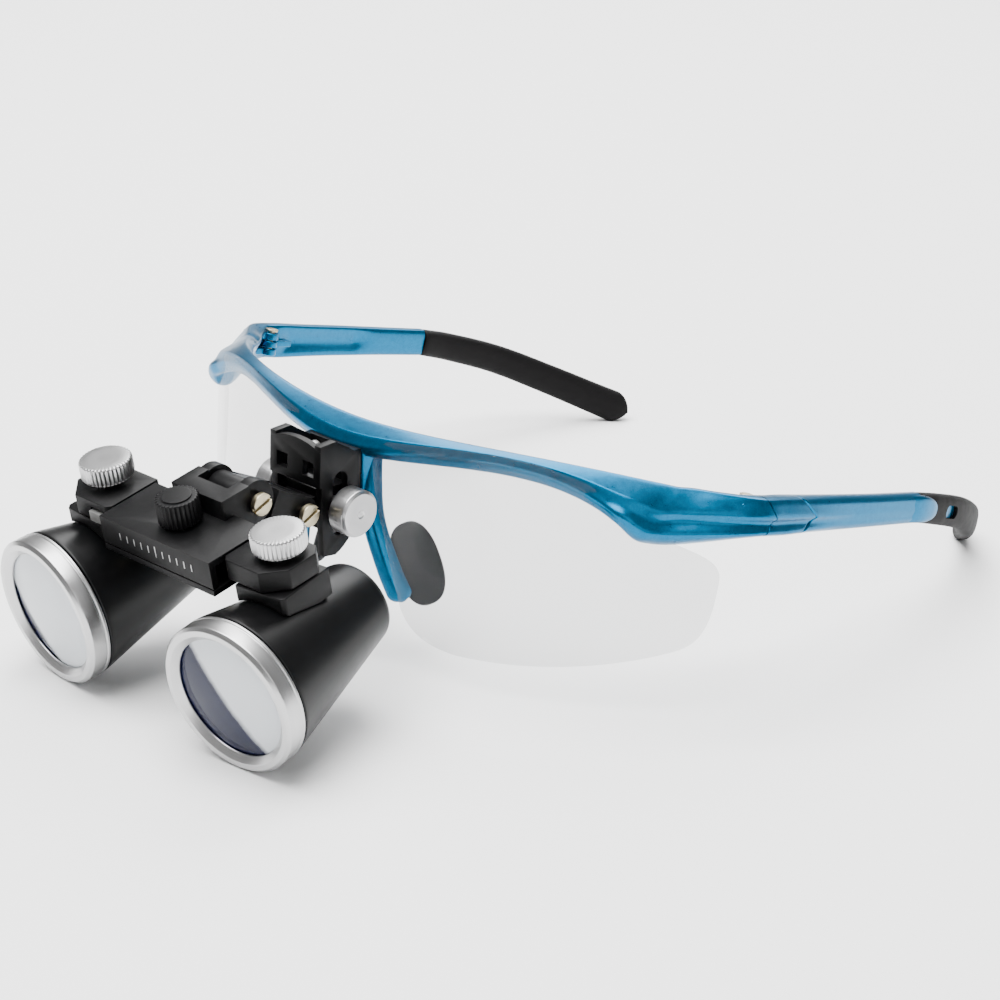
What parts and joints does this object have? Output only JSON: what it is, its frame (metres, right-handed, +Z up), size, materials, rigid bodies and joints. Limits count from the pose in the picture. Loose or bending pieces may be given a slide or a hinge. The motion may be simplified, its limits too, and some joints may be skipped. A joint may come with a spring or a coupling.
{
  "type": "dental loupes",
  "caption": "Wrap spectacles with a nose-mounted flip-up bar that carries a pair of magnifying barrels; the temples fold and the barrels slide, tilt and swivel.",
  "frame": {"origin": "the centre of the bounding box's footprint at table height, with the loupes standing on both front rings and both temple tips", "axes": "+X towards the wearer's left, +Y from the barrels back to the temple tips, +Z up"},
  "size_m": [0.1464, 0.2064, 0.0495],
  "materials": {
    "blue_paint": "pearl metallic blue lacquer on moulded plastic",
    "clear_lens": "clear polished polycarbonate",
    "black_rubber": "matt black moulded rubber",
    "black_metal": "satin black anodised aluminium",
    "barrel_black": "semi-matt black lacquered aluminium",
    "satin_aluminium": "satin turned aluminium",
    "steel": "turned nickel-brass screws and steel pins",
    "coated_glass": "optical glass with a faint blue coating"
  },
  "bodies": {
    "spectacle_frame": {"brow_frame": "blue_paint", "lens_left": "clear_lens", "lens_right": "clear_lens", "nose_pad_left": "black_rubber", "nose_pad_right": "black_rubber", "mount_bracket": "black_metal", "bracket_screw_left": "steel", "bracket_screw_right": "steel", "hinge_screw_left": "steel", "hinge_screw_right": "steel"},
    "temple_left_arm": {"temple_left": "blue_paint", "temple_sleeve_left": "black_rubber"},
    "temple_right_arm": {"temple_right": "blue_paint", "temple_sleeve_right": "black_rubber"},
    "slider": {"height_slider": "black_metal", "link_pin_rear": "steel", "link_nut_rear": "steel"},
    "clamp_screw": {"clamp_bolt": "steel", "clamp_knob_left": "satin_aluminium"},
    "clamp_nut": {"clamp_knob_right": "satin_aluminium"},
    "link": {"flip_link": "black_metal"},
    "bar": {"bar_housing": "black_metal", "bar_cover": "black_metal", "bar_cover_screw_left": "steel", "bar_cover_screw_right": "steel", "link_pin_front": "steel", "link_nut_front": "steel"},
    "pd_drive": {"pd_knob": "black_metal", "pd_pinion": "steel"},
    "carriage_left_body": {"carriage_left": "black_metal", "rack_left": "steel"},
    "thumb_left": {"thumbscrew_left": "satin_aluminium"},
    "barrel_left": {"barrel_shoe_left": "barrel_black", "barrel_housing_left": "barrel_black", "front_ring_left": "satin_aluminium", "objective_lens_left": "coated_glass", "light_stop_left": "barrel_black", "eyepiece_lens_left": "coated_glass", "eyepiece_ring_left": "barrel_black"},
    "carriage_right_body": {"carriage_right": "black_metal", "rack_right": "steel"},
    "thumb_right": {"thumbscrew_right": "satin_aluminium"},
    "barrel_right": {"barrel_shoe_right": "barrel_black", "barrel_housing_right": "barrel_black", "front_ring_right": "satin_aluminium", "objective_lens_right": "coated_glass", "light_stop_right": "barrel_black", "eyepiece_lens_right": "coated_glass", "eyepiece_ring_right": "barrel_black"}
  },
  "joints": [
    {"name": "temple_left_fold", "type": "hinge", "parent": "spectacle_frame", "child": "temple_left_arm", "pos_m": [0.0665, -0.00456, 0.0385], "axis": [0, 0.2187, 0.9758], "range_deg": [0, 90]},
    {"name": "temple_right_fold", "type": "hinge", "parent": "spectacle_frame", "child": "temple_right_arm", "pos_m": [-0.0665, -0.00456, 0.0385], "axis": [0, -0.2187, -0.9758], "range_deg": [0, 78]},
    {"name": "height_slide", "type": "slide", "parent": "spectacle_frame", "child": "slider", "axis": [0, -0.0082, 1], "range_m": [-0.004, 0.0024]},
    {"name": "clamp_left_turn", "type": "hinge", "parent": "slider", "child": "clamp_screw", "pos_m": [0, -0.05379, 0.03445], "axis": [1, 0, 0], "range_deg": [0, 270]},
    {"name": "clamp_right_turn", "type": "hinge", "parent": "slider", "child": "clamp_nut", "pos_m": [0, -0.05379, 0.03445], "axis": [-1, 0, 0], "range_deg": [0, 270]},
    {"name": "link_rear_tilt", "type": "hinge", "parent": "slider", "child": "link", "pos_m": [0, -0.0628, 0.03528], "axis": [-1, 0, 0], "range_deg": [-12, 50]},
    {"name": "link_front_flip", "type": "hinge", "parent": "link", "child": "bar", "pos_m": [0, -0.07514, 0.04078], "axis": [-1, 0, 0], "range_deg": [-12, 75]},
    {"name": "pd_knob_turn", "type": "hinge", "parent": "bar", "child": "pd_drive", "pos_m": [0, -0.08716, 0.03552], "axis": [0, 0.2227, -0.9749], "range_deg": [0, 160]},
    {"name": "carriage_left_slide", "type": "slide", "parent": "bar", "child": "carriage_left_body", "axis": [1, 0, 0], "range_m": [0, 0.00754]},
    {"name": "carriage_right_slide", "type": "slide", "parent": "bar", "child": "carriage_right_body", "axis": [-1, 0, 0], "range_m": [0, 0.00754]},
    {"name": "thumbscrew_left_turn", "type": "hinge", "parent": "carriage_left_body", "child": "thumb_left", "pos_m": [0.024, -0.08443, 0.03614], "axis": [0, -0.2227, 0.9749], "range_deg": [0, 180]},
    {"name": "barrel_left_swivel", "type": "hinge", "parent": "carriage_left_body", "child": "barrel_left", "pos_m": [0.024, -0.08443, 0.03614], "axis": [0, -0.2227, 0.9749], "range_deg": [-10, 4]},
    {"name": "thumbscrew_right_turn", "type": "hinge", "parent": "carriage_right_body", "child": "thumb_right", "pos_m": [-0.024, -0.08443, 0.03614], "axis": [0, 0.2227, -0.9749], "range_deg": [0, 180]},
    {"name": "barrel_right_swivel", "type": "hinge", "parent": "carriage_right_body", "child": "barrel_right", "pos_m": [-0.024, -0.08443, 0.03614], "axis": [0, 0.2227, -0.9749], "range_deg": [-10, 4]}
  ],
  "couplings": [
    {"joint": "pd_knob_turn", "follows": "carriage_left_slide", "rad_per_m": 370.37},
    {"joint": "carriage_right_slide", "follows": "carriage_left_slide", "ratio": 1}
  ]
}
